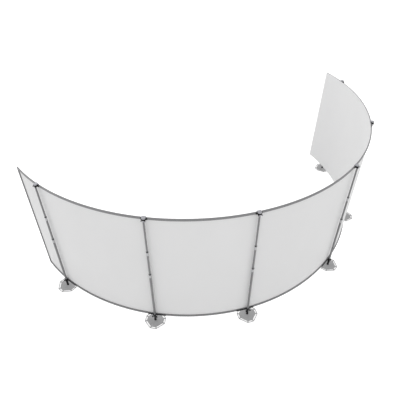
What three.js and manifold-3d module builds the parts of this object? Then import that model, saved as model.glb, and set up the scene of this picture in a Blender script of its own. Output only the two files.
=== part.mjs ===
// A curved display wall: six telescopic posts on slotted octagonal plates carry a top and a
// bottom rail, and printed sheets hook into the rails and close the curve.
// Millimetres, +Z up. The wall bulges towards -Y, where the posts stand, and opens towards +Y.

import * as THREE from 'three';
import { mergeVertices } from 'three/addons/utils/BufferGeometryUtils.js';
import Module from 'manifold-3d';

const wasm = await Module();
wasm.setup();

// The curve in plan, measured along the middle of the rails
const railRadius = 3126;
const middleBay = 1810;
const secondBay = 1415;
const outerBay = 1655;
const leftOverhang = 570; // the wall stands a little to the left on its posts
const rightOverhang = 480;
const flatLength = 190; // the curve is drawn in straight flats no longer than this

// Heights of the wall above the floor
const floorGap = 95;
const wallHeight = 1998;

// Rails: channels that open inwards through a mouth between two lips
const railHeight = 30;
const railDepth = 15;
const railWall = 2;
const railMouth = 12;
const railJoint = 1; // left open between two rails at a post

// Sheets: a flat panel with a hook strip along its top and bottom edges
const sheetThickness = 1;
const sheetJoint = 0.8;
const hookNeck = 4;
const hookThickness = 2.5;
const hookGrip = 4; // how far a hook reaches behind the rail's lip

// Angle strips that stiffen the sheets at the two free ends
const stripFlange = 20;
const stripWall = 2;

// Telescopic posts: three tubes, each with a lock at the top of the one below
const postOffset = 34.5; // post axis outside the middle of the rails
const lowerTubeRadius = 16;
const middleTubeRadius = 14;
const upperTubeRadius = 12;
const tubeWall = 1.4;
const lowerLockHeight = 1082; // top of the lower tube
const upperLockHeight = 1526; // top of the middle tube
const tubeOverlap = 150; // length of each tube that stays inside the one below
const lockRing = 14;
const lockRingStep = 2.2;
const ferruleLength = 58;
const ferruleStep = 1.5;
const guideLength = 22; // narrowed mouth of each outer tube
const expanderLength = 40; // swollen foot of each inner tube
const expanderStep = 0.25;
const tubeSides = 12;

// Base plates: octagons with short and long sides in turn, slotted along each side
const plateRadius = 162; // to the corners
const plateThickness = 8;
const shortSideAngle = 35; // degrees, seen from the plate's middle
const plateRim = 14;
const plateSlot = 20;
const plateSpoke = 15;
const plateCountersink = 3; // room for the head of the screw that holds the spigot
const screwHeadRadius = 10;

// Foot spigots: black columns on the plates, with a peg that each post is pushed over
const spigotHeight = 84; // from the plate to the post's end
const spigotFootRadius = 18;
const spigotFootHeight = 5;
const pegLength = 90;
const pegTaper = 8;

// Lower clamps: a bar that joins two rails, with a collar for the post and two thumb screws
const barHalfLength = 137;
const barHeight = 30;
const barThickness = 5;
const barShifts = [66, 24, -34, -69, -24, -66]; // middle of each bar, to the right of its post
const collarRise = 20; // middle of the collar above the middle of the rail
const collarHeight = 54;
const collarWall = 4;
const collarWeb = 20;

// Upper clamps: a cap over the rail and the post, a body below it and two thumb screws
const capWidth = 54;
const capFront = 26; // the cap narrows to this on its outer side
const capThickness = 8;
const capReach = 11; // from the post's axis to the cap's outer side
const bodyEdge = 5; // the body stands out this far round the cap
const bodyCover = 9; // thickness of the body over the rail
const bodyHeight = 26;
const bodyCollarHeight = 20; // round the post, below the body
const bodyCollarWall = 4;
const wingHalfLength = 54;
const wingThickness = 8;
const wingHeight = 26;

// Thumb screws, two in each clamp
const lowerScrewSpacing = 60;
const upperScrewSpacing = 46;
const upperScrewDrop = 7; // below the middle of the rail
const screwStem = 4;
const lowerKnobRadius = 12;
const upperKnobRadius = 9;
const knobLobe = 1.2;
const knobLobes = 5;
const lowerKnobLength = 14;
const upperKnobLength = 6;
const lowerKnobReach = 54; // from the rail's outer face to the knob's end
const upperKnobReach = 49.5;

// Clearances
const restGap = 0.3; // between pieces that touch when the wall stands
const slideGap = 0.3; // radial, between a tube and what it slides in

// Worked-out places

const wallBottom = floorGap;
const wallTop = floorGap + wallHeight;
const bottomRailZ = wallBottom + railHeight / 2;
const topRailZ = wallTop - railHeight / 2;
const railInner = railRadius - railDepth / 2;
const railOuter = railRadius + railDepth / 2;
const sheetOuter = railInner - restGap;
const sheetInner = sheetOuter - sheetThickness;
const postRadius = railRadius + postOffset;
const postBottom = plateThickness + spigotHeight;
const railFace = postOffset - railDepth / 2; // the rail's outer face, seen from a post's axis

// Distances of the posts from the wall's middle, along the rails, from left to right
const innerPost = middleBay / 2;
const secondPost = innerPost + secondBay;
const outerPost = secondPost + outerBay;
const leftEnd = -outerPost - leftOverhang;
const rightEnd = outerPost + rightOverhang;
const postPlaces = [-outerPost, -secondPost, -innerPost, innerPost, secondPost, outerPost];
const sheetEdges = [leftEnd, -secondPost, -innerPost, innerPost, secondPost, rightEnd];

const bends = makeBends([leftEnd, ...postPlaces, rightEnd]);

// Angles of the lines where the wall's flats meet
function makeBends(stations) {
  const angles = [stations[0] / railRadius];
  for (let i = 1; i < stations.length; i++) {
    const length = stations[i] - stations[i - 1];
    const flats = Math.ceil(length / flatLength);
    for (let k = 1; k <= flats; k++) {
      angles.push((stations[i - 1] + (length * k) / flats) / railRadius);
    }
  }
  return angles;
}

// How far in from the true circle the flats lie at an angle, as a share of the radius
function flatShare(angle) {
  let i = 1;
  while (i < bends.length - 1 && bends[i] < angle) i++;
  const half = (bends[i] - bends[i - 1]) / 2;
  return Math.cos(half) / Math.cos(angle - bends[i - 1] - half);
}

function pointOnWall(radius, angle, z) {
  const reach = radius * flatShare(angle);
  return [reach * Math.sin(angle), -reach * Math.cos(angle), z];
}

// Solids

function toSolid(geometry) {
  const bare = geometry.clone();
  bare.deleteAttribute('normal');
  bare.deleteAttribute('uv');
  const merged = mergeVertices(bare);
  const corners = merged.index.array;
  const kept = [];
  for (let i = 0; i < corners.length; i += 3) {
    const [a, b, c] = [corners[i], corners[i + 1], corners[i + 2]];
    if (a !== b && b !== c && c !== a) kept.push(a, b, c);
  }
  return new wasm.Manifold(new wasm.Mesh({
    numProp: 3,
    vertProperties: merged.attributes.position.array,
    triVerts: new Uint32Array(kept),
  }));
}

function toGeometry(solid) {
  const mesh = solid.getMesh();
  const geometry = new THREE.BufferGeometry();
  geometry.setAttribute('position', new THREE.BufferAttribute(mesh.vertProperties, 3));
  geometry.setIndex(new THREE.BufferAttribute(mesh.triVerts, 1));
  return geometry;
}

function join(...geometries) {
  const solids = geometries.map(toSolid);
  return toGeometry(solids.reduce((whole, piece) => whole.add(piece)));
}

function cut(geometry, ...tools) {
  const solids = tools.map(toSolid);
  return toGeometry(solids.reduce((whole, piece) => whole.subtract(piece), toSolid(geometry)));
}

// A section of [radius, z] points, anticlockwise, swept along the wall between two distances
function sweepAlongWall(section, from, to) {
  const start = from / railRadius;
  const end = to / railRadius;
  const nearest = 1e-6;
  const between = bends.filter((angle) => angle > start + nearest && angle < end - nearest);
  const stops = [start, ...between, end];
  const positions = stops.flatMap((angle) => section.flatMap(([r, z]) => pointOnWall(r, angle, z)));
  const count = section.length;
  const faces = [];
  for (let k = 0; k < stops.length - 1; k++) {
    for (let i = 0; i < count; i++) {
      const next = (i + 1) % count;
      const [a, b] = [k * count + i, k * count + next];
      const [c, d] = [a + count, b + count];
      faces.push(b, a, c, b, c, d);
    }
  }
  const outline = section.map(([r, z]) => new THREE.Vector2(r, z));
  const last = (stops.length - 1) * count;
  for (const [a, b, c] of THREE.ShapeUtils.triangulateShape(outline, [])) {
    faces.push(a, b, c);
    faces.push(last + a, last + c, last + b);
  }
  const geometry = new THREE.BufferGeometry();
  geometry.setAttribute('position', new THREE.Float32BufferAttribute(positions, 3));
  geometry.setIndex(faces);
  return geometry;
}

function boxSection(innerRadius, outerRadius, bottom, top) {
  return [[innerRadius, bottom], [outerRadius, bottom], [outerRadius, top], [innerRadius, top]];
}

// A closed profile of [radius, z] points turned about Z, anticlockwise as seen with +Z up
function turn(profile, sides) {
  const points = [...profile, profile[0]].map(([r, z]) => new THREE.Vector2(r, z));
  const geometry = new THREE.LatheGeometry(points, sides);
  geometry.rotateX(Math.PI / 2);
  return toGeometry(toSolid(geometry));
}

function block(x0, x1, y0, y1, z0, z1) {
  const geometry = new THREE.BoxGeometry(x1 - x0, y1 - y0, z1 - z0);
  geometry.translate((x0 + x1) / 2, (y0 + y1) / 2, (z0 + z1) / 2);
  return geometry;
}

function drum(radius, bottom, top, sides) {
  const geometry = new THREE.CylinderGeometry(radius, radius, top - bottom, sides);
  geometry.rotateX(Math.PI / 2);
  geometry.translate(0, 0, (bottom + top) / 2);
  return geometry;
}

// The wall

function makeRail(z, from, to) {
  const low = z - railHeight / 2;
  const high = z + railHeight / 2;
  const lip = railInner + railWall;
  const back = railOuter - railWall;
  const section = [
    [railInner, low],
    [railOuter, low],
    [railOuter, high],
    [railInner, high],
    [railInner, z + railMouth / 2],
    [lip, z + railMouth / 2],
    [lip, high - railWall],
    [back, high - railWall],
    [back, low + railWall],
    [lip, low + railWall],
    [lip, z - railMouth / 2],
    [railInner, z - railMouth / 2],
  ];
  return sweepAlongWall(section, from, to);
}

function makeSheet(from, to) {
  const hookInner = railInner + railWall + restGap;
  const hookOuter = hookInner + hookThickness;
  const neck = hookNeck / 2;
  const tip = railMouth / 2 + hookGrip;
  const section = [
    [sheetInner, wallBottom],
    [sheetOuter, wallBottom],
    [sheetOuter, bottomRailZ - neck],
    [hookInner, bottomRailZ - neck],
    [hookInner, bottomRailZ - tip],
    [hookOuter, bottomRailZ - tip],
    [hookOuter, bottomRailZ + neck],
    [sheetOuter, bottomRailZ + neck],
    [sheetOuter, topRailZ - neck],
    [hookOuter, topRailZ - neck],
    [hookOuter, topRailZ + tip],
    [hookInner, topRailZ + tip],
    [hookInner, topRailZ + neck],
    [sheetOuter, topRailZ + neck],
    [sheetOuter, wallTop],
    [sheetInner, wallTop],
  ];
  return sweepAlongWall(section, from, to);
}

// An angle strip behind the sheet's free edge, standing between the two rails; inward is the
// direction along the wall from that edge, 1 or -1
function makeEndStrip(edge, inward) {
  const bottom = bottomRailZ + railHeight / 2 + restGap;
  const top = topRailZ - railHeight / 2 - restGap;
  const point = (radius, inset) => {
    const [x, y] = pointOnWall(radius, (edge + inward * inset) / railRadius, 0);
    return new THREE.Vector2(x, y);
  };
  const outline = [
    point(railInner, 0),
    point(railOuter, 0),
    point(railOuter, stripWall),
    point(railInner + stripWall, stripWall),
    point(railInner + stripWall, stripFlange),
    point(railInner, stripFlange),
  ];
  const strip = new THREE.ExtrudeGeometry(new THREE.Shape(outline), {
    depth: top - bottom,
    bevelEnabled: false,
  });
  strip.translate(0, 0, bottom);
  return toGeometry(toSolid(strip));
}

// The posts, about their axis

function corner(radius, degrees) {
  const angle = THREE.MathUtils.degToRad(degrees);
  return new THREE.Vector2(radius * Math.cos(angle), radius * Math.sin(angle));
}

// One slot beside a plate's side: its ends run along the spokes that meet the corners
function plateSlotHole(middle, halfAngle) {
  const half = THREE.MathUtils.degToRad(halfAngle);
  const outer = plateRadius * Math.cos(half) - plateRim;
  const inner = outer - plateSlot;
  const reach = (distance) => distance * Math.tan(half) - plateSpoke / 2 / Math.cos(half);
  const corners = [
    [outer, -reach(outer)],
    [outer, reach(outer)],
    [inner, reach(inner)],
    [inner, -reach(inner)],
  ];
  const turned = THREE.MathUtils.degToRad(middle);
  const points = corners.map(([x, y]) => new THREE.Vector2(x, y).rotateAround(new THREE.Vector2(), turned));
  return new THREE.Path(points);
}

function makeBasePlate() {
  const outline = [];
  const holes = [];
  for (let quarter = 0; quarter < 360; quarter += 90) {
    outline.push(corner(plateRadius, quarter - shortSideAngle / 2));
    outline.push(corner(plateRadius, quarter + shortSideAngle / 2));
    holes.push(plateSlotHole(quarter, shortSideAngle / 2));
    holes.push(plateSlotHole(quarter + 45, 45 - shortSideAngle / 2));
  }
  const shape = new THREE.Shape(outline);
  shape.holes = holes;
  const plate = new THREE.ExtrudeGeometry(shape, { depth: plateThickness, bevelEnabled: false });
  const screwHead = drum(screwHeadRadius, -plateCountersink, plateCountersink, tubeSides);
  return cut(plate, screwHead);
}

function makeFootSpigot() {
  const bottom = plateThickness + restGap;
  const shoulder = postBottom - restGap;
  const peg = lowerTubeRadius - tubeWall - restGap;
  const tip = postBottom + pegLength;
  return turn([
    [0, bottom],
    [spigotFootRadius, bottom],
    [spigotFootRadius, bottom + spigotFootHeight],
    [lowerTubeRadius, bottom + 2 * spigotFootHeight],
    [lowerTubeRadius, shoulder],
    [peg, shoulder],
    [peg, tip - pegTaper],
    [peg - pegTaper / 4, tip],
    [0, tip],
  ], tubeSides);
}

// The lock at the top of an outer tube: a ferrule, a ring above it and a narrowed mouth
function lockProfile(radius, boreRadius, nextRadius, top) {
  const ringFoot = top - lockRing;
  const ferruleFoot = ringFoot - ferruleLength;
  const guide = nextRadius + slideGap;
  return [
    [radius, ferruleFoot],
    [radius + ferruleStep, ferruleFoot + ferruleStep],
    [radius + ferruleStep, ringFoot],
    [radius + lockRingStep, ringFoot],
    [radius + lockRingStep, top],
    [guide, top],
    [guide, top - guideLength],
    [boreRadius, top - guideLength - ferruleStep],
  ];
}

// The foot of an inner tube, swollen where its lock spreads inside the tube below
function expanderProfile(radius, bottom) {
  return [
    [radius + expanderStep, bottom],
    [radius + expanderStep, bottom + expanderLength],
    [radius, bottom + expanderLength + 1],
  ];
}

function makeLowerTube() {
  const bore = lowerTubeRadius - tubeWall;
  return turn([
    [bore, postBottom],
    [lowerTubeRadius, postBottom],
    ...lockProfile(lowerTubeRadius, bore, middleTubeRadius, lowerLockHeight),
  ], tubeSides);
}

function makeMiddleTube() {
  const bottom = lowerLockHeight - tubeOverlap;
  const bore = middleTubeRadius - tubeWall;
  return turn([
    [bore, bottom],
    ...expanderProfile(middleTubeRadius, bottom),
    ...lockProfile(middleTubeRadius, bore, upperTubeRadius, upperLockHeight),
  ], tubeSides);
}

function makeUpperTube() {
  const bottom = upperLockHeight - tubeOverlap;
  const top = wallTop - 2 * restGap;
  const bore = upperTubeRadius - tubeWall;
  return turn([
    [bore, bottom],
    ...expanderProfile(upperTubeRadius, bottom),
    [upperTubeRadius, top],
    [bore, top],
  ], tubeSides);
}

// Clamps and thumb screws

// A thumb screw that points at the rail: a lobed knob on the outer side, and a stem that ends in
// the middle of its seat, which is the bar or the wing of the clamp
function makeThumbScrew(x, size) {
  const outline = [];
  const steps = 2 * knobLobes;
  for (let i = 0; i < steps; i++) {
    const angle = (i / steps) * 2 * Math.PI;
    const radius = size.knobRadius + knobLobe * Math.cos(knobLobes * angle);
    outline.push(new THREE.Vector2(radius * Math.sin(angle), radius * Math.cos(angle)));
  }
  const knob = new THREE.ExtrudeGeometry(new THREE.Shape(outline), {
    depth: size.knobLength,
    bevelEnabled: false,
  });
  const end = railFace - size.reach;
  knob.translate(0, 0, -size.knobLength);
  knob.rotateX(Math.PI / 2);
  knob.translate(x, end, size.z);
  const stemEnd = railFace - restGap - size.seatDepth / 2;
  const stem = drum(screwStem, end + size.knobLength / 2, stemEnd, 8);
  stem.rotateX(-Math.PI / 2);
  stem.translate(x, 0, size.z);
  return join(knob, stem);
}

function makeThumbScrews(size) {
  return [-1, 1].map((side) => makeThumbScrew((side * size.spacing) / 2, size));
}

// Moves a geometry that was swept along the wall into the frame of one post
function toPostFrame(geometry, place) {
  return geometry.applyMatrix4(postMatrix(place).invert());
}

function makeLowerClamp(place, barShift) {
  const barFace = railOuter + restGap;
  const bar = sweepAlongWall(
    boxSection(barFace, barFace + barThickness, bottomRailZ - barHeight / 2, bottomRailZ + barHeight / 2),
    place + barShift - barHalfLength,
    place + barShift + barHalfLength,
  );
  const low = bottomRailZ + collarRise - collarHeight / 2;
  const high = low + collarHeight;
  const bore = lowerTubeRadius + restGap;
  const collar = drum(bore + collarWall, low, high, tubeSides);
  const webTop = bottomRailZ + barHeight / 2;
  const web = block(-collarWeb / 2, collarWeb / 2, 0, railFace - restGap - barThickness / 2, low, webTop);
  const screws = makeThumbScrews({
    spacing: lowerScrewSpacing,
    z: bottomRailZ,
    knobRadius: lowerKnobRadius,
    knobLength: lowerKnobLength,
    reach: lowerKnobReach,
    seatDepth: barThickness,
  });
  const clamp = join(toPostFrame(bar, place), collar, web, ...screws);
  return cut(clamp, drum(bore, low - 1, high + 1, tubeSides));
}

// The cap's outline: square over the rail, narrower round the post; edge widens it all round
function capShape(edge) {
  const half = capWidth / 2 + edge;
  const back = railFace + railDepth + restGap + sheetThickness + edge;
  const front = -(capReach + edge);
  const shoulder = front + (capWidth - capFront) / 2;
  const shape = new THREE.Shape();
  shape.moveTo(half, back);
  shape.lineTo(-half, back);
  shape.lineTo(-half, shoulder);
  shape.lineTo(-capFront / 2 - edge, front);
  shape.lineTo(capFront / 2 + edge, front);
  shape.lineTo(half, shoulder);
  return shape;
}

function capSlab(edge, bottom, top) {
  const slab = new THREE.ExtrudeGeometry(capShape(edge), { depth: top - bottom, bevelEnabled: false });
  slab.translate(0, 0, bottom);
  return slab;
}

function makeUpperClamp(place) {
  const bodyTop = wallTop + restGap + bodyCover;
  const bodyBottom = bodyTop - bodyHeight;
  const collarBottom = bodyBottom - bodyCollarHeight;
  const bore = upperTubeRadius + restGap;
  const cap = capSlab(0, bodyTop - bodyCover / 2, bodyTop + capThickness);
  const body = capSlab(bodyEdge, bodyBottom, bodyTop);
  // The wall's top edge passes through the body in a slot that is open below
  const wallSlot = sweepAlongWall(
    boxSection(sheetInner - capWidth, railOuter + restGap, bodyBottom - 1, wallTop + restGap),
    place - capWidth,
    place + capWidth,
  );
  const collar = drum(bore + bodyCollarWall, collarBottom, bodyTop, tubeSides);
  const wingFace = railOuter + restGap;
  const wings = sweepAlongWall(
    boxSection(wingFace, wingFace + wingThickness, topRailZ - wingHeight / 2, topRailZ + wingHeight / 2),
    place - wingHalfLength,
    place + wingHalfLength,
  );
  const screws = makeThumbScrews({
    spacing: upperScrewSpacing,
    z: topRailZ - upperScrewDrop,
    knobRadius: upperKnobRadius,
    knobLength: upperKnobLength,
    reach: upperKnobReach,
    seatDepth: wingThickness,
  });
  const slottedBody = cut(body, toPostFrame(wallSlot, place));
  const clamp = join(slottedBody, cap, collar, toPostFrame(wings, place), ...screws);
  return cut(clamp, drum(bore, collarBottom - 1, wallTop - restGap, tubeSides));
}

// Assembly

const finishes = {
  sheet: { color: 0xdcdcdc, roughness: 0.6, metalness: 0 },
  rail: { color: 0x8c8c8e, roughness: 0.45, metalness: 0.6 },
  tube: { color: 0x8a8a8c, roughness: 0.35, metalness: 0.8 },
  plate: { color: 0x9a9a9c, roughness: 0.55, metalness: 0.3 },
  cap: { color: 0x9c9ca4, roughness: 0.4, metalness: 0.6 },
  black: { color: 0x2a2a2c, roughness: 0.5, metalness: 0 },
};

function addPiece(group, name, geometry, finish) {
  const mesh = new THREE.Mesh(geometry, new THREE.MeshStandardMaterial(finishes[finish]));
  mesh.name = name;
  group.add(mesh);
}

// Places a post's own frame: +Y points at the middle of the curve
function postMatrix(place) {
  const angle = place / railRadius;
  const matrix = new THREE.Matrix4().makeRotationZ(angle);
  matrix.setPosition(postRadius * Math.sin(angle), -postRadius * Math.cos(angle), 0);
  return matrix;
}

function makePost(number, place) {
  const post = new THREE.Group();
  postMatrix(place).decompose(post.position, post.quaternion, post.scale);
  addPiece(post, `base_plate_${number}`, makeBasePlate(), 'plate');
  addPiece(post, `foot_spigot_${number}`, makeFootSpigot(), 'black');
  addPiece(post, `lower_tube_${number}`, makeLowerTube(), 'tube');
  addPiece(post, `middle_tube_${number}`, makeMiddleTube(), 'tube');
  addPiece(post, `upper_tube_${number}`, makeUpperTube(), 'tube');
  addPiece(post, `lower_clamp_${number}`, makeLowerClamp(place, barShifts[number - 1]), 'black');
  addPiece(post, `upper_clamp_${number}`, makeUpperClamp(place), 'cap');
  return post;
}

function makeWall() {
  const wall = new THREE.Group();
  for (let bay = 1; bay < sheetEdges.length; bay++) {
    const [from, to] = [sheetEdges[bay - 1], sheetEdges[bay]];
    // A joint is left only where a neighbour follows, not at the wall's free ends
    const leftJoint = bay > 1 ? 0.5 : 0;
    const rightJoint = bay < sheetEdges.length - 1 ? 0.5 : 0;
    const railSpan = [from + leftJoint * railJoint, to - rightJoint * railJoint];
    const sheetSpan = [from + leftJoint * sheetJoint, to - rightJoint * sheetJoint];
    addPiece(wall, `graphic_sheet_${bay}`, makeSheet(...sheetSpan), 'sheet');
    addPiece(wall, `top_rail_${bay}`, makeRail(topRailZ, ...railSpan), 'rail');
    addPiece(wall, `bottom_rail_${bay}`, makeRail(bottomRailZ, ...railSpan), 'rail');
  }
  addPiece(wall, 'end_strip_left', makeEndStrip(leftEnd, 1), 'rail');
  addPiece(wall, 'end_strip_right', makeEndStrip(rightEnd, -1), 'rail');
  return wall;
}

function makeDisplayWall() {
  const display = new THREE.Group();
  display.add(makeWall());
  postPlaces.forEach((place, i) => display.add(makePost(i + 1, place)));
  // The origin is the middle of the footprint, on the floor
  display.updateMatrixWorld(true);
  const footprint = new THREE.Box3().setFromObject(display, true);
  display.position.y = -(footprint.min.y + footprint.max.y) / 2;
  return display;
}

export default makeDisplayWall();
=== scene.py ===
import math

import bmesh
import bpy
from mathutils import Matrix, Vector


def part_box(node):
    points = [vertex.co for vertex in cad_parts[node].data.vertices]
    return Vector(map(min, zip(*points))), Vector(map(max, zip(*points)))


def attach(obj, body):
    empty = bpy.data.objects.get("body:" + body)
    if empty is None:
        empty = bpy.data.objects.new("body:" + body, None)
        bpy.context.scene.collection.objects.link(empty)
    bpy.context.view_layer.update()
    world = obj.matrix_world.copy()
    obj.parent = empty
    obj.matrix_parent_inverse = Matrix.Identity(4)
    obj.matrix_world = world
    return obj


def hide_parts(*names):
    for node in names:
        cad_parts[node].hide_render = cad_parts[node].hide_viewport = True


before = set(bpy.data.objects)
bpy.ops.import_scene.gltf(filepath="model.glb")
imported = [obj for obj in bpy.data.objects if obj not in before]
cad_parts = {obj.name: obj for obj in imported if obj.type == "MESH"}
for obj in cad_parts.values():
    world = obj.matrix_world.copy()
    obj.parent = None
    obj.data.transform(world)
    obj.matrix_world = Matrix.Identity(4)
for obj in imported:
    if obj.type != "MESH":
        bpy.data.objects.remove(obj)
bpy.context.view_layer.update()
rootBody = "wall_and_bases"
postNumbers = range(1, 7)
bayNumbers = range(1, 6)
middleBay = 3

# lengths in metres; x runs to the right, and -y lies outside the curve
wall = {
    "stepDegrees": 0.9,
    "railDepth": 0.015,
    "railWall": 0.002,
    "railMouth": 0.012,
    "railRounding": 0.0009,
    "railJoint": 0.001,
    "sheetThickness": 0.001,
    "sheetJoint": 0.0008,
    "gap": 0.0003,
    "hookNeck": 0.004,
    "hookThickness": 0.0025,
    "hookGrip": 0.004,
    "stripFlange": 0.020,
    "stripWall": 0.002,
    "stripEdge": 0.0004,
}
weldDistance = 0.00001
sameHeight = 0.0001
uprightRise = 0.001
roundSteps = 48
mouldedEdge = 0.0008
creaseDegrees = 35


def middleOf(node):
    low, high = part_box(node)
    return (low + high) / 2


def findPlan():
    # the first and the third post give the middle of the curve
    axes = [middleOf(f"middle_tube_{n}").xy for n in postNumbers]
    outer, inner = axes[0], axes[2]
    centreY = (outer.length_squared - inner.length_squared) / (2 * (outer.y - inner.y))
    railLow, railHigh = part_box(f"bottom_rail_{middleBay}")
    topLow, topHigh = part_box(f"top_rail_{middleBay}")
    railOuter = centreY - railLow.y
    # the free ends' highest y lies on the sheets' inner face
    faceRadius = railOuter - wall["railDepth"] - wall["gap"] - wall["sheetThickness"]
    endBays = (bayNumbers[0], bayNumbers[-1])
    endHeights = [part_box(f"graphic_sheet_{bay}")[1].y for bay in endBays]
    ends = [math.acos((centreY - y) / faceRadius) for y in endHeights]
    return {
        "centre": Vector((0, centreY, 0)),
        "postAngles": [math.atan2(axis.x, centreY - axis.y) for axis in axes],
        "postRadius": (axes[2] - Vector((0, centreY))).length,
        "railOuter": railOuter,
        "leftEnd": -ends[0],
        "rightEnd": ends[1],
        "bottom": (railLow.z, railHigh.z),
        "top": (topLow.z, topHigh.z),
        "bottomMiddle": (railLow.z + railHigh.z) / 2,
        "topMiddle": (topLow.z + topHigh.z) / 2,
    }


plan = findPlan()
bayEdges = [plan["leftEnd"], *plan["postAngles"][1:-1], plan["rightEnd"]]
railInner = plan["railOuter"] - wall["railDepth"]
sheetOuter = railInner - wall["gap"]
sheetInner = sheetOuter - wall["sheetThickness"]
railFace = plan["postRadius"] - plan["railOuter"]
print("plan: post radius %.4f, ends at %.2f and %.2f degrees" % (
    plan["postRadius"], math.degrees(plan["leftEnd"]), math.degrees(plan["rightEnd"])))


def onWall(radius, angle, z):
    return plan["centre"] + Vector((radius * math.sin(angle), -radius * math.cos(angle), z))


def postPlace(number):
    angle = plan["postAngles"][number - 1]
    spot = onWall(plan["postRadius"], angle, 0)
    return Matrix.Translation(spot) @ Matrix.Rotation(angle, 4, "Z")


def rise(edge):
    return abs(edge.verts[0].co.z - edge.verts[1].co.z)


def sharpEdges(bm, degrees=creaseDegrees):
    limit = math.radians(degrees)
    return [e for e in bm.edges if len(e.link_faces) == 2 and e.calc_face_angle(0) > limit]


def bevelEdges(bm, edges, width, segments=2):
    bmesh.ops.bevel(bm, geom=edges, offset=width, offset_type="OFFSET", segments=segments,
                    profile=0.5, affect="EDGES", clamp_overlap=True, material=-1)


def closeUp(bm):
    bmesh.ops.remove_doubles(bm, verts=bm.verts, dist=weldDistance)
    bmesh.ops.recalc_face_normals(bm, faces=bm.faces)


def outlineFace(bm, points):
    return bm.faces.new([bm.verts.new(point) for point in points])


def raiseFaces(bm, faces, height, keep=False):
    grown = bmesh.ops.extrude_face_region(bm, geom=faces, use_keep_orig=keep)
    verts = [item for item in grown["geom"] if isinstance(item, bmesh.types.BMVert)]
    bmesh.ops.translate(bm, verts=verts, vec=(0, 0, height))


def turned(bm, profile, steps, loop=True):
    # a profile of (radius, z) turned about the vertical axis; a loop closes on itself
    verts = [bm.verts.new((radius, 0, z)) for radius, z in profile]
    pairs = list(zip(verts, verts[1:]))
    if loop:
        pairs.append((verts[-1], verts[0]))
    edges = [bm.edges.new(pair) for pair in pairs]
    bmesh.ops.spin(bm, geom=verts + edges, cent=(0, 0, 0), axis=(0, 0, 1), angle=2 * math.pi,
                   steps=steps, use_merge=True, use_duplicate=False)
    closeUp(bm)


def swept(bm, section, start, end, rounding=0):
    # a section of (radius, z) swept round the curve from one angle to another
    face = outlineFace(bm, [onWall(radius, start, z) for radius, z in section])
    if rounding:
        bmesh.ops.bevel(bm, geom=list(face.verts), offset=rounding, offset_type="OFFSET",
                        segments=2, profile=0.5, affect="VERTICES", clamp_overlap=True,
                        material=-1)
        bm.faces.ensure_lookup_table()
        face = bm.faces[-1]
    steps = max(2, round(math.degrees(end - start) / wall["stepDegrees"]))
    bmesh.ops.spin(bm, geom=list(face.verts) + list(face.edges) + [face], cent=plan["centre"],
                   axis=(0, 0, 1), angle=end - start, steps=steps, use_merge=False,
                   use_duplicate=False)
    closeUp(bm)


def addPart(bm, part):
    # takes one closed part into a larger mesh
    mesh = bpy.data.meshes.new("part")
    part.to_mesh(mesh)
    part.free()
    bm.from_mesh(mesh)
    bpy.data.meshes.remove(mesh)


def paint(part, index):
    for face in part.faces:
        face.material_index = index


def finishPiece(name, bm, materials, body, node):
    mesh = bpy.data.meshes.new(name)
    bm.to_mesh(mesh)
    bm.free()
    for material in materials:
        mesh.materials.append(material)
    mesh.shade_smooth()
    mesh.set_sharp_from_angle(angle=math.radians(creaseDegrees))
    piece = bpy.data.objects.new(name, mesh)
    bpy.context.scene.collection.objects.link(piece)
    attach(piece, body)
    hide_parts(node)


def newMaterial(name, look):
    material = bpy.data.materials.new(name)
    material.use_nodes = True
    shader = material.node_tree.nodes["Principled BSDF"]
    shader.inputs["Base Color"].default_value = (*look["color"], 1)
    shader.inputs["Roughness"].default_value = look["roughness"]
    shader.inputs["Metallic"].default_value = look.get("metallic", 0)
    shader.inputs["Specular IOR Level"].default_value = look.get("specular", 0.5)
    return material, material.node_tree, shader


def addNode(tree, kind, **values):
    node = tree.nodes.new(kind)
    for key, value in values.items():
        setattr(node, key, value)
    return node


def objectPattern(tree, scale, detail=3):
    # noise on the object's own coordinates, stretched by scale
    place = addNode(tree, "ShaderNodeTexCoord")
    mapping = addNode(tree, "ShaderNodeMapping", vector_type="TEXTURE")
    mapping.inputs["Scale"].default_value = tuple(1 / part for part in scale)
    noise = addNode(tree, "ShaderNodeTexNoise")
    noise.inputs["Scale"].default_value = 1
    noise.inputs["Detail"].default_value = detail
    tree.links.new(place.outputs["Object"], mapping.inputs["Vector"])
    tree.links.new(mapping.outputs["Vector"], noise.inputs["Vector"])
    return noise.outputs["Fac"]


def spread(tree, value, low, high):
    # noise lies mostly between 0.3 and 0.7, and this turns it into the given range
    ramp = addNode(tree, "ShaderNodeMapRange")
    ramp.inputs["From Min"].default_value = 0.3
    ramp.inputs["From Max"].default_value = 0.7
    ramp.inputs["To Min"].default_value = low
    ramp.inputs["To Max"].default_value = high
    tree.links.new(value, ramp.inputs["Value"])
    return ramp.outputs["Result"]


def mottle(tree, shader, look, value):
    mix = addNode(tree, "ShaderNodeMix", data_type="RGBA")
    for socket, share in (("A", 1 - look["mottle"]), ("B", 1 + look["mottle"])):
        mix.inputs[socket].default_value = (*[part * share for part in look["color"]], 1)
    tree.links.new(spread(tree, value, 0, 1), mix.inputs["Factor"])
    tree.links.new(mix.outputs["Result"], shader.inputs["Base Color"])


def bump(tree, shader, look, value):
    node = addNode(tree, "ShaderNodeBump")
    node.inputs["Strength"].default_value = look["bump"]
    node.inputs["Distance"].default_value = look["bumpDepth"]
    tree.links.new(value, node.inputs["Height"])
    tree.links.new(node.outputs["Normal"], shader.inputs["Normal"])


def roughen(tree, shader, look, value):
    low, high = look["roughness"] - look["uneven"], look["roughness"] + look["uneven"]
    tree.links.new(spread(tree, value, low, high), shader.inputs["Roughness"])


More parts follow.
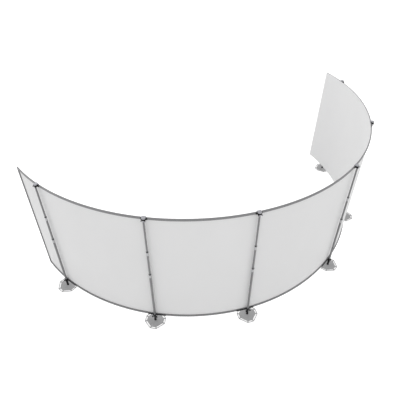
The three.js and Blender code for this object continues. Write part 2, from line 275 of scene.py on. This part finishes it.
sheetLook = {
    "color": (0.76, 0.76, 0.762),
    "roughness": 0.55,
    "uneven": 0.05,
    "specular": 0.35,
    "mottle": 0.012,
    "clouds": (1.6, 1.6, 0.9),
    "grain": (900, 900, 900),
    "bump": 0.25,
    "bumpDepth": 0.00004,
}


def sheetFilm():
    look = sheetLook
    material, tree, shader = newMaterial("sheetFilm", look)
    mottle(tree, shader, look, objectPattern(tree, look["clouds"]))
    grain = objectPattern(tree, look["grain"], detail=2)
    bump(tree, shader, look, grain)
    roughen(tree, shader, look, grain)
    return material


railLook = {
    "color": (0.205, 0.205, 0.21),
    "roughness": 0.42,
    "uneven": 0.06,
    "metallic": 0.55,
    "mottle": 0.035,
    "lines": 1500,
    "patches": (9, 9, 9),
    "bump": 0.15,
    "bumpDepth": 0.00003,
}


def railMetal():
    look = railLook
    material, tree, shader = newMaterial("railMetal", look)
    # the drawn lines of an extrusion follow the curve, so they depend on radius and height only
    place = addNode(tree, "ShaderNodeTexCoord")
    offset = addNode(tree, "ShaderNodeMapping")
    offset.inputs["Location"].default_value = -plan["centre"]
    split = addNode(tree, "ShaderNodeSeparateXYZ")
    flat = addNode(tree, "ShaderNodeCombineXYZ")
    length = addNode(tree, "ShaderNodeVectorMath", operation="LENGTH")
    joined = addNode(tree, "ShaderNodeCombineXYZ")
    noise = addNode(tree, "ShaderNodeTexNoise")
    noise.inputs["Scale"].default_value = look["lines"]
    noise.inputs["Detail"].default_value = 3
    tree.links.new(place.outputs["Object"], offset.inputs["Vector"])
    tree.links.new(offset.outputs["Vector"], split.inputs["Vector"])
    tree.links.new(split.outputs["X"], flat.inputs["X"])
    tree.links.new(split.outputs["Y"], flat.inputs["Y"])
    tree.links.new(flat.outputs["Vector"], length.inputs[0])
    tree.links.new(length.outputs["Value"], joined.inputs["X"])
    tree.links.new(split.outputs["Z"], joined.inputs["Y"])
    tree.links.new(joined.outputs["Vector"], noise.inputs["Vector"])
    mottle(tree, shader, look, noise.outputs["Fac"])
    bump(tree, shader, look, noise.outputs["Fac"])
    roughen(tree, shader, look, objectPattern(tree, look["patches"]))
    return material


tubeLook = {
    "color": (0.19, 0.19, 0.195),
    "roughness": 0.38,
    "uneven": 0.057,
    "metallic": 0.6,
    "mottle": 0.05,
    "lines": (1300, 1300, 4),
    "patches": (14, 14, 5),
    "bump": 0.12,
    "bumpDepth": 0.00003,
}
ferruleLook = {
    **tubeLook,
    "color": (0.44, 0.44, 0.45),
    "roughness": 0.34,
    "uneven": 0.051,
    "mottle": 0.04,
}
capLook = {
    **tubeLook,
    "color": (0.36, 0.36, 0.385),
    "roughness": 0.4,
    "uneven": 0.06,
    "metallic": 0.5,
    "mottle": 0.04,
    "lines": (900, 900, 4),
}


def drawnMetal(name, look):
    # tubes and turned metal: fine lines along the height
    material, tree, shader = newMaterial(name, look)
    lines = objectPattern(tree, look["lines"])
    mottle(tree, shader, look, lines)
    bump(tree, shader, look, lines)
    roughen(tree, shader, look, objectPattern(tree, look["patches"]))
    return material


plateLook = {
    "color": (0.40, 0.40, 0.405),
    "roughness": 0.6,
    "uneven": 0.06,
    "metallic": 0.1,
    "mottle": 0.05,
    "clouds": (22, 22, 22),
    "grain": (650, 650, 650),
    "bump": 0.4,
    "bumpDepth": 0.00012,
}
# painted shade: the upright sides and slot walls of the plates get a darker coat than their faces
plateSideShadeLook = {**plateLook, "color": (0.2, 0.2, 0.202)}
blackLook = {
    **plateLook,
    "color": (0.012, 0.012, 0.013),
    "roughness": 0.5,
    "metallic": 0,
    "specular": 0.15,
    "mottle": 0.12,
    "grain": (1100, 1100, 1100),
    "bumpDepth": 0.00006,
}


def coated(name, look):
    # powder coat and moulded plastic: a fine pebbled grain with a little unevenness
    material, tree, shader = newMaterial(name, look)
    clouds = objectPattern(tree, look["clouds"], detail=4)
    mottle(tree, shader, look, clouds)
    bump(tree, shader, look, objectPattern(tree, look["grain"]))
    roughen(tree, shader, look, clouds)
    return material


film = sheetFilm()
rail = railMetal()
tube = drawnMetal("tubeMetal", tubeLook)
ferrule = drawnMetal("ferruleMetal", ferruleLook)
capMetal = drawnMetal("capMetal", capLook)
plateCoat = coated("plateCoat", plateLook)
plateSideShade = coated("plateSideShade", plateSideShadeLook)
black = coated("blackMoulding", blackLook)
print("materials ready")


def bayAngles(bay, joint):
    # half a joint is left at each end that has a neighbour
    start, end = bayEdges[bay - 1], bayEdges[bay]
    half = joint / 2 / railInner
    if bay != bayNumbers[0]:
        start += half
    if bay != bayNumbers[-1]:
        end -= half
    return start, end


def railSection(low, high):
    middle, mouth = (low + high) / 2, wall["railMouth"] / 2
    outer, thick = plan["railOuter"], wall["railWall"]
    lip, back = railInner + thick, outer - thick
    return [(railInner, low), (outer, low), (outer, high), (railInner, high),
            (railInner, middle + mouth), (lip, middle + mouth), (lip, high - thick),
            (back, high - thick), (back, low + thick), (lip, low + thick),
            (lip, middle - mouth), (railInner, middle - mouth)]


def makeRails():
    for bay in bayNumbers:
        start, end = bayAngles(bay, wall["railJoint"])
        for label, height in (("top", plan["top"]), ("bottom", plan["bottom"])):
            bm = bmesh.new()
            swept(bm, railSection(*height), start, end, wall["railRounding"])
            finishPiece(f"{label}Rail{bay}", bm, [rail], rootBody, f"{label}_rail_{bay}")


def sheetSection():
    low, high = plan["bottom"][0], plan["top"][1]
    hookInner = railInner + wall["railWall"] + wall["gap"]
    hookOuter = hookInner + wall["hookThickness"]
    neck = wall["hookNeck"] / 2
    tip = wall["railMouth"] / 2 + wall["hookGrip"]
    lower, upper = plan["bottomMiddle"], plan["topMiddle"]
    return [(sheetInner, low), (sheetOuter, low),
            (sheetOuter, lower - neck), (hookInner, lower - neck), (hookInner, lower - tip),
            (hookOuter, lower - tip), (hookOuter, lower + neck), (sheetOuter, lower + neck),
            (sheetOuter, upper - neck), (hookOuter, upper - neck), (hookOuter, upper + tip),
            (hookInner, upper + tip), (hookInner, upper + neck), (sheetOuter, upper + neck),
            (sheetOuter, high), (sheetInner, high)]


def makeSheets():
    for bay in bayNumbers:
        start, end = bayAngles(bay, wall["sheetJoint"])
        bm = bmesh.new()
        swept(bm, sheetSection(), start, end)
        finishPiece(f"graphicSheet{bay}", bm, [film], rootBody, f"graphic_sheet_{bay}")


def makeEndStrips():
    low, high = plan["bottom"][1] + wall["gap"], plan["top"][0] - wall["gap"]
    for side, label in ((-1, "left"), (1, "right")):
        edge = plan[f"{label}End"]
        wallWidth = -side * wall["stripWall"] / railInner
        flangeWidth = -side * wall["stripFlange"] / railInner
        inner, outer = railInner, plan["railOuter"]
        lip = inner + wall["stripWall"]
        corners = [(inner, 0), (outer, 0), (outer, wallWidth), (lip, wallWidth),
                   (lip, flangeWidth), (inner, flangeWidth)]
        bm = bmesh.new()
        face = outlineFace(bm, [onWall(radius, edge + way, low) for radius, way in corners])
        raiseFaces(bm, [face], high - low)
        closeUp(bm)
        bevelEdges(bm, sharpEdges(bm), wall["stripEdge"])
        name = f"endStrip{label.capitalize()}"
        finishPiece(name, bm, [rail], rootBody, f"end_strip_{label}")


makeRails()
makeSheets()
makeEndStrips()
print("rails, sheets and end strips made")

basePlate = {
    "radius": 0.162,
    "thickness": 0.008,
    "shortSide": math.radians(35),
    "rim": 0.014,
    "slot": 0.020,
    "spoke": 0.015,
    "slotRounding": 0.005,
    "edge": 0.0015,
    "flatNormal": 0.9,
}


def makeBasePlate(number):
    size = basePlate
    radius, half = size["radius"], size["shortSide"] / 2
    bm = bmesh.new()
    corners = [quarter * math.pi / 2 + side * half for quarter in range(4) for side in (-1, 1)]
    face = outlineFace(bm, [(radius * math.cos(a), radius * math.sin(a), 0) for a in corners])
    # two rings of faces: the rim, then the band that holds the slots
    rings = []
    for width in (size["rim"] - size["spoke"] / 2, size["slot"] + size["spoke"]):
        ring = bmesh.ops.inset_region(bm, faces=[face], thickness=width, use_boundary=True,
                                      use_even_offset=True)
        rings.append(ring["faces"])
    band = rings[1]
    bmesh.ops.inset_individual(bm, faces=band, thickness=size["spoke"] / 2, use_even_offset=True)
    bmesh.ops.delete(bm, geom=band, context="FACES")
    raiseFaces(bm, list(bm.faces), size["thickness"], keep=True)
    closeUp(bm)
    inside = radius * math.cos(math.pi / 4 - half) - size["rim"] / 2
    slotCorners = [edge for edge in bm.edges
                   if rise(edge) > uprightRise and edge.verts[0].co.xy.length < inside]
    bevelEdges(bm, slotCorners, size["slotRounding"], segments=4)
    bevelEdges(bm, sharpEdges(bm, degrees=60), size["edge"])
    # painted shade: every face that is not flat, the outer sides and the slot walls, takes the
    # darker coat
    for face in bm.faces:
        if abs(face.normal.z) < size["flatNormal"]:
            face.material_index = 1
    bm.transform(postPlace(number))
    name, materials = f"basePlate{number}", [plateCoat, plateSideShade]
    finishPiece(name, bm, materials, rootBody, f"base_plate_{number}")


spigot = {
    "radius": 0.016,
    "footRadius": 0.018,
    "footHeight": 0.005,
    "pegRadius": 0.0143,
    "pegTaper": 0.008,
    "pegNarrowing": 0.002,
}


def makeSpigot(number):
    size = spigot
    radius, foot, peg = size["radius"], size["footRadius"], size["pegRadius"]
    low, high = (corner.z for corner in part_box(f"foot_spigot_{number}"))
    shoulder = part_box(f"lower_tube_{number}")[0].z - wall["gap"]
    profile = [(0, low), (foot, low), (foot, low + size["footHeight"]),
               (radius, low + 2 * size["footHeight"]), (radius, shoulder),
               (peg, shoulder), (peg, high - size["pegTaper"]),
               (peg - size["pegNarrowing"], high), (0, high)]
    bm = bmesh.new()
    turned(bm, profile, roundSteps, loop=False)
    bevelEdges(bm, sharpEdges(bm, degrees=20), mouldedEdge)
    bm.transform(postPlace(number))
    name = f"footSpigot{number}"
    finishPiece(name, bm, [black], rootBody, f"foot_spigot_{number}")


for number in postNumbers:
    makeBasePlate(number)
    makeSpigot(number)
print("base plates and spigots made")

tubes = {
    "lower": {"radius": 0.016, "next": 0.014},
    "middle": {"radius": 0.014, "next": 0.012},
    "upper": {"radius": 0.012, "next": None},
    "wall": 0.0014,
    "slideGap": 0.0003,
    "lockRing": 0.014,
    "lockRingStep": 0.0022,
    "ferruleLength": 0.058,
    "ferruleStep": 0.0015,
    "guideLength": 0.022,
    "expanderLength": 0.040,
    "expanderStep": 0.00025,
    "expanderTaper": 0.001,
    "gripRibs": 20,
    "gripDepth": 0.0006,
    "edge": 0.0004,
}


def lockProfile(own, bore, ringFoot, high):
    # the ferrule, the lock ring above it and the narrowed mouth
    size, radius = tubes, own["radius"]
    sleeve, ring = radius + size["ferruleStep"], radius + size["lockRingStep"]
    guide = own["next"] + size["slideGap"]
    ferruleFoot = ringFoot - size["ferruleLength"]
    guideFoot = high - size["guideLength"]
    return [(radius, ferruleFoot), (sleeve, ferruleFoot + size["ferruleStep"]),
            (sleeve, ringFoot), (ring, ringFoot), (ring, high), (guide, high),
            (guide, guideFoot), (bore, guideFoot - size["ferruleStep"])]


def dressLock(bm, own, ringFoot):
    # grip ribs: every other column of the ring's outer face is drawn in a little
    size, radius = tubes, own["radius"]
    ribs = size["gripRibs"] / math.pi
    for vert in bm.verts:
        outside = vert.co.xy.length > radius + size["ferruleStep"] + sameHeight
        column = round(math.atan2(vert.co.y, vert.co.x) * ribs)
        if vert.co.z > ringFoot - sameHeight and outside and column % 2:
            vert.co.xy *= 1 - size["gripDepth"] / vert.co.xy.length
    for face in bm.faces:
        middle = face.calc_center_median()
        if middle.z > ringFoot - sameHeight and middle.xy.length > radius:
            face.material_index = 2
        elif (middle.z > ringFoot - size["ferruleLength"]
              and middle.xy.length > radius + sameHeight):
            face.material_index = 1


def makeTube(label, number, body):
    size, own = tubes, tubes[label]
    low, high = (corner.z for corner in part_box(f"{label}_tube_{number}"))
    radius, bore = own["radius"], own["radius"] - size["wall"]
    ringFoot = high - size["lockRing"]
    profile = [(bore, low)]
    if label == "lower":
        profile.append((radius, low))
    else:
        swollen, shoulder = radius + size["expanderStep"], low + size["expanderLength"]
        profile += [(swollen, low), (swollen, shoulder),
                    (radius, shoulder + size["expanderTaper"])]
    if own["next"]:
        profile += lockProfile(own, bore, ringFoot, high)
    else:
        profile += [(radius, high), (bore, high)]
    bm = bmesh.new()
    turned(bm, profile, 2 * size["gripRibs"])
    if own["next"]:
        dressLock(bm, own, ringFoot)
    rims = [edge for edge in sharpEdges(bm, degrees=30) if rise(edge) < sameHeight]
    bevelEdges(bm, rims, size["edge"], segments=1)
    bm.transform(postPlace(number))
    name, materials = f"{label}Tube{number}", [tube, ferrule, black]
    finishPiece(name, bm, materials, body, f"{label}_tube_{number}")


for number in postNumbers:
    makeTube("lower", number, rootBody)
    makeTube("middle", number, f"post_{number}_middle")
    makeTube("upper", number, f"post_{number}_upper")
print("telescopic tubes made")

lowerScrew = {
    "spacing": 0.060,
    "drop": 0,
    "radius": 0.012,
    "length": 0.014,
    "reach": 0.054,
    "edge": 0.0022,
    "endMaterial": 0,
}
upperScrew = {
    "spacing": 0.046,
    "drop": 0.007,
    "radius": 0.009,
    "length": 0.006,
    "reach": 0.0495,
    "edge": 0.0012,
    "endMaterial": 1,
}
knobForm = {
    "lobes": 5,
    "lobeHeight": 0.0012,
    "sides": 40,
    "stem": 0.004,
    "stemSides": 20,
    "endNormal": 0.99,
}


def thumbScrew(size, x, z):
    # a lobed knob that points at the rail, with its stem
    form, length = knobForm, size["length"]
    knob = bmesh.new()
    bmesh.ops.create_circle(knob, cap_ends=True, segments=form["sides"], radius=size["radius"])
    for vert in knob.verts:
        way = math.atan2(vert.co.y, vert.co.x)
        vert.co.xy *= 1 + form["lobeHeight"] / size["radius"] * math.cos(form["lobes"] * way)
    raiseFaces(knob, list(knob.faces), length)
    closeUp(knob)
    bevelEdges(knob, sharpEdges(knob, degrees=60), size["edge"], segments=3)
    for face in knob.faces:
        if face.normal.z < -form["endNormal"]:
            face.material_index = size["endMaterial"]
    end = railFace - size["reach"]
    stem = bmesh.new()
    stemLength = railFace - wall["gap"] - end - length / 2
    bmesh.ops.create_cone(stem, cap_ends=True, segments=form["stemSides"], radius1=form["stem"],
                          radius2=form["stem"], depth=stemLength)
    bmesh.ops.translate(stem, verts=stem.verts, vec=(0, 0, length / 2 + stemLength / 2))
    addPart(knob, stem)
    lying = Matrix.Rotation(-math.pi / 2, 3, "X")
    bmesh.ops.rotate(knob, verts=knob.verts, cent=(0, 0, 0), matrix=lying)
    bmesh.ops.translate(knob, verts=knob.verts, vec=(x, end, z - size["drop"]))
    return knob


def addScrews(bm, size, z):
    for side in (-1, 1):
        addPart(bm, thumbScrew(size, side * size["spacing"] / 2, z))


def collarRound(bore, thickness, low, high, edge):
    outer = bore + thickness
    collar = bmesh.new()
    turned(collar, [(bore, low), (outer, low), (outer, high), (bore, high)], roundSteps)
    bevelEdges(collar, sharpEdges(collar, degrees=60), edge)
    return collar


barRounding = 0.001


def tangentBar(number, halfLength, height, thickness, z, shift=0):
    # a bar that lies along the rail's outer face, in the frame of the whole wall
    bar = bmesh.new()
    inner = plan["railOuter"] + wall["gap"]
    outer, low, high = inner + thickness, z - height / 2, z + height / 2
    railMiddle = plan["railOuter"] - wall["railDepth"] / 2
    angle = plan["postAngles"][number - 1] + shift / railMiddle
    half = halfLength / railMiddle
    section = [(inner, low), (outer, low), (outer, high), (inner, high)]
    swept(bar, section, angle - half, angle + half, barRounding)
    bevelEdges(bar, sharpEdges(bar, degrees=60), mouldedEdge)
    return bar


lowerClamp = {
    "barHalfLength": 0.137,
    "barHeight": 0.030,
    "barThickness": 0.005,
    "barShifts": [0.066, 0.024, -0.034, -0.069, -0.024, -0.066],
    "collarRise": 0.020,
    "collarHeight": 0.054,
    "collarWall": 0.004,
    "collarEdge": 0.0012,
    "web": 0.020,
}


def makeLowerClamp(number):
    size = lowerClamp
    z = plan["bottomMiddle"]
    low = z + size["collarRise"] - size["collarHeight"] / 2
    bore = tubes["lower"]["radius"] + wall["gap"]
    bm = bmesh.new()
    addPart(bm, collarRound(bore, size["collarWall"], low, low + size["collarHeight"],
                            size["collarEdge"]))
    web = bmesh.new()
    half = size["web"] / 2
    near = bore + size["collarWall"] / 2
    far = railFace - wall["gap"] - size["barThickness"] / 2
    corners = [(-half, near, low), (half, near, low), (half, far, low), (-half, far, low)]
    raiseFaces(web, [outlineFace(web, corners)], z + size["barHeight"] / 2 - low)
    closeUp(web)
    bevelEdges(web, sharpEdges(web), mouldedEdge)
    addPart(bm, web)
    addScrews(bm, lowerScrew, z)
    bm.transform(postPlace(number))
    addPart(bm, tangentBar(number, size["barHalfLength"], size["barHeight"],
                           size["barThickness"], z, size["barShifts"][number - 1]))
    name = f"lowerClamp{number}"
    finishPiece(name, bm, [black], rootBody, f"lower_clamp_{number}")


upperClamp = {
    "width": 0.054,
    "front": 0.026,
    "capRise": 0.006,
    "capDepth": 0.012,
    "reach": 0.015,
    "bodyEdge": 0.002,
    "bodyCover": 0.009,
    "bodyHeight": 0.026,
    "collarHeight": 0.020,
    "collarWall": 0.004,
    "wingHalfLength": 0.044,
    "wingHeight": 0.026,
    "wingThickness": 0.008,
    "cornerRounding": 0.004,
    "capRounding": 0.0015,
    "bodyRounding": 0.001,
    "overlap": 0.001,
}


def capOutline(edge, back, z):
    size = upperClamp
    half = size["width"] / 2 + edge
    front = -(size["reach"] + edge)
    shoulder = front + (size["width"] - size["front"]) / 2
    narrow = size["front"] / 2 + edge
    return [(half, back, z), (-half, back, z), (-half, shoulder, z), (-narrow, front, z),
            (narrow, front, z), (half, shoulder, z)]


def capSlab(edge, back, low, high, rounding):
    slab = bmesh.new()
    raiseFaces(slab, [outlineFace(slab, capOutline(edge, back, low))], high - low)
    closeUp(slab)
    upright = [e for e in slab.edges if rise(e) > uprightRise]
    bevelEdges(slab, upright, upperClamp["cornerRounding"], segments=3)
    bevelEdges(slab, sharpEdges(slab, degrees=60), rounding)
    return slab


def makeUpperClamp(number):
    size = upperClamp
    seat = plan["top"][1] + wall["gap"]
    bodyBottom = seat + size["bodyCover"] - size["bodyHeight"]
    capTop = seat + size["bodyCover"] + size["capRise"]
    capFoot = capTop - size["capDepth"]
    back = plan["postRadius"] - sheetInner
    edge, rounding, overlap = size["bodyEdge"], size["bodyRounding"], size["overlap"]
    bm = bmesh.new()
    cap = capSlab(0, back, capFoot, capTop, size["capRounding"])
    paint(cap, 1)
    addPart(bm, cap)
    # the body above the rail's top, then in front of the rail
    addPart(bm, capSlab(edge, back + edge, seat, capFoot, rounding))
    addPart(bm, capSlab(edge, railFace - wall["gap"], bodyBottom, seat + overlap, rounding))
    bore = tubes["upper"]["radius"] + wall["gap"]
    collar = collarRound(bore, size["collarWall"], bodyBottom - size["collarHeight"],
                         bodyBottom + overlap, mouldedEdge)
    paint(collar, 1)
    addPart(bm, collar)
    addScrews(bm, upperScrew, plan["topMiddle"])
    bm.transform(postPlace(number))
    addPart(bm, tangentBar(number, size["wingHalfLength"], size["wingHeight"],
                           size["wingThickness"], plan["topMiddle"]))
    name, materials = f"upperClamp{number}", [black, capMetal]
    finishPiece(name, bm, materials, rootBody, f"upper_clamp_{number}")


for number in postNumbers:
    makeLowerClamp(number)
    makeUpperClamp(number)
print("clamps made")

studio = {
    "floorSize": 90,
    "floorDrop": 0.0005,
    "floorTone": 0.8,
    "floorLift": 0.5,
    "skyHigh": 1.05,
    "skyLow": 1.43,
    "panelSize": 9,
    "panelAim": (0, 0, 1),
    "panels": {
        "softFront": {"place": (-7, -9, 7), "power": 35},
        "softBack": {"place": (-2, 10, 7), "power": 150},
    },
}


def seenDirectly(tree):
    # 1 for what the camera, gloss and glass see, and 0 for light on its way elsewhere
    path = addNode(tree, "ShaderNodeLightPath")
    seen = addNode(tree, "ShaderNodeMath", operation="MAXIMUM")
    seenToo = addNode(tree, "ShaderNodeMath", operation="MAXIMUM")
    tree.links.new(path.outputs["Is Camera Ray"], seen.inputs[0])
    tree.links.new(path.outputs["Is Glossy Ray"], seen.inputs[1])
    tree.links.new(seen.outputs[0], seenToo.inputs[0])
    tree.links.new(path.outputs["Is Transmission Ray"], seenToo.inputs[1])
    return seenToo.outputs[0]


def makeFloor():
    bm = bmesh.new()
    bmesh.ops.create_grid(bm, x_segments=1, y_segments=1, size=studio["floorSize"] / 2)
    mesh = bpy.data.meshes.new("floor")
    bm.to_mesh(mesh)
    bm.free()
    floor = bpy.data.objects.new("floor", mesh)
    bpy.context.scene.collection.objects.link(floor)
    floor.location.z = -studio["floorDrop"]
    material = bpy.data.materials.new("floorWhite")
    material.use_nodes = True
    tree = material.node_tree
    tree.nodes.clear()
    paper = addNode(tree, "ShaderNodeBsdfDiffuse")
    paper.inputs["Color"].default_value = (studio["floorTone"],) * 3 + (1,)
    # what the camera, gloss and glass see is lifted to white, and the shadow stays
    lift = addNode(tree, "ShaderNodeEmission")
    strength = addNode(tree, "ShaderNodeMath", operation="MULTIPLY")
    strength.inputs[1].default_value = studio["floorLift"]
    both = addNode(tree, "ShaderNodeAddShader")
    output = addNode(tree, "ShaderNodeOutputMaterial")
    tree.links.new(seenDirectly(tree), strength.inputs[0])
    tree.links.new(strength.outputs[0], lift.inputs["Strength"])
    tree.links.new(paper.outputs[0], both.inputs[0])
    tree.links.new(lift.outputs[0], both.inputs[1])
    tree.links.new(both.outputs[0], output.inputs["Surface"])
    mesh.materials.append(material)


def makeSky():
    world = bpy.data.worlds.new("studioSky")
    bpy.context.scene.world = world
    world.use_nodes = True
    tree = world.node_tree
    tree.nodes.clear()
    # a soft dome that is a little dimmer overhead, and plain white to the camera, gloss and glass
    place = addNode(tree, "ShaderNodeTexCoord")
    split = addNode(tree, "ShaderNodeSeparateXYZ")
    height = addNode(tree, "ShaderNodeMapRange")
    height.inputs["To Min"].default_value = studio["skyLow"]
    height.inputs["To Max"].default_value = studio["skyHigh"]
    dome = addNode(tree, "ShaderNodeBackground")
    white = addNode(tree, "ShaderNodeBackground")
    mix = addNode(tree, "ShaderNodeMixShader")
    output = addNode(tree, "ShaderNodeOutputWorld")
    white.inputs["Color"].default_value = (1, 1, 1, 1)
    tree.links.new(place.outputs["Generated"], split.inputs["Vector"])
    tree.links.new(split.outputs["Z"], height.inputs["Value"])
    tree.links.new(height.outputs["Result"], dome.inputs["Strength"])
    tree.links.new(seenDirectly(tree), mix.inputs["Fac"])
    tree.links.new(dome.outputs[0], mix.inputs[1])
    tree.links.new(white.outputs[0], mix.inputs[2])
    tree.links.new(mix.outputs[0], output.inputs["Surface"])


def makePanel(name, place, power):
    data = bpy.data.lights.new(name, "AREA")
    data.shape = "SQUARE"
    data.size = studio["panelSize"]
    data.energy = power
    panel = bpy.data.objects.new(name, data)
    bpy.context.scene.collection.objects.link(panel)
    panel.location = place
    ray = Vector(studio["panelAim"]) - Vector(place)
    panel.rotation_euler = ray.to_track_quat("-Z", "Y").to_euler()


# where the photograph was taken from, seen from the middle of the curve
viewpoint = {
    "away": 6.6422,
    "round": math.radians(-32.06),
    "height": 5.3200,
    "azimuth": math.radians(-33.82),
    "down": math.radians(39.794),
    "lens": 35.785,
    "sensor": 36,
    "farthest": 200,
}


def makeCamera():
    data = bpy.data.cameras.new("camera")
    data.sensor_width = viewpoint["sensor"]
    data.lens = viewpoint["lens"]
    data.clip_end = viewpoint["farthest"]
    camera = bpy.data.objects.new("camera", data)
    bpy.context.scene.collection.objects.link(camera)
    camera.location = onWall(viewpoint["away"], viewpoint["round"], viewpoint["height"])
    camera.rotation_euler = (math.pi / 2 - viewpoint["down"], 0, viewpoint["azimuth"])
    bpy.context.scene.camera = camera


makeFloor()
makeSky()
for name, panel in studio["panels"].items():
    makePanel(name, panel["place"], panel["power"])
makeCamera()
bpy.context.scene.view_settings.view_transform = "Standard"
print("floor, light and camera set")
